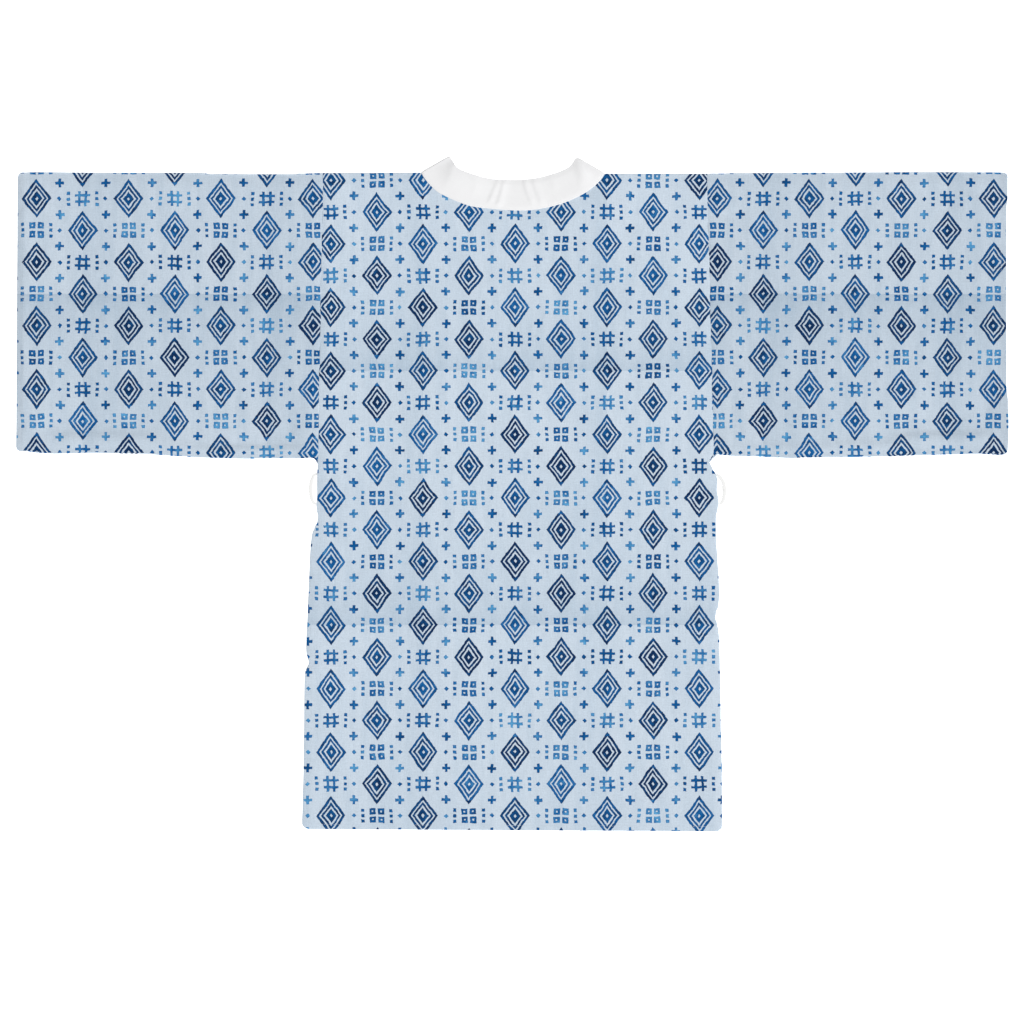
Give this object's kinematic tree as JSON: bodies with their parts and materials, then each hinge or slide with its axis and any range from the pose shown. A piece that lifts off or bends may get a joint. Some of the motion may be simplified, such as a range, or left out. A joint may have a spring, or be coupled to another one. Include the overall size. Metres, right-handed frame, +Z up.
{
  "type": "kimono robe laid flat",
  "caption": "Short kimono robe laid flat on its front: wide tube sleeves, straight body, a plain band round the neck and down the fronts, small loops in the side seams.",
  "frame": {"origin": "bottom centre of the box round the robe, on the surface that it lies on", "axes": "+X along the sleeves to the wearer's right, +Y from the hem to the neck, +Z up, out of the back of the robe"},
  "size_m": [1.356, 0.9231, 0.0062],
  "materials": {
    "printed_cotton": "matte plain weave, pale blue with an indigo print",
    "band_cotton": "white, smooth, slight sheen",
    "loop_thread": "off-white thread"
  },
  "bodies": {
    "root": {"back": "printed_cotton", "front_left": "printed_cotton", "front_right": "printed_cotton", "sleeve_left": "printed_cotton", "sleeve_right": "printed_cotton", "neckband": "band_cotton", "belt_loop_left": "loop_thread", "belt_loop_right": "loop_thread"}
  },
  "joints": []
}
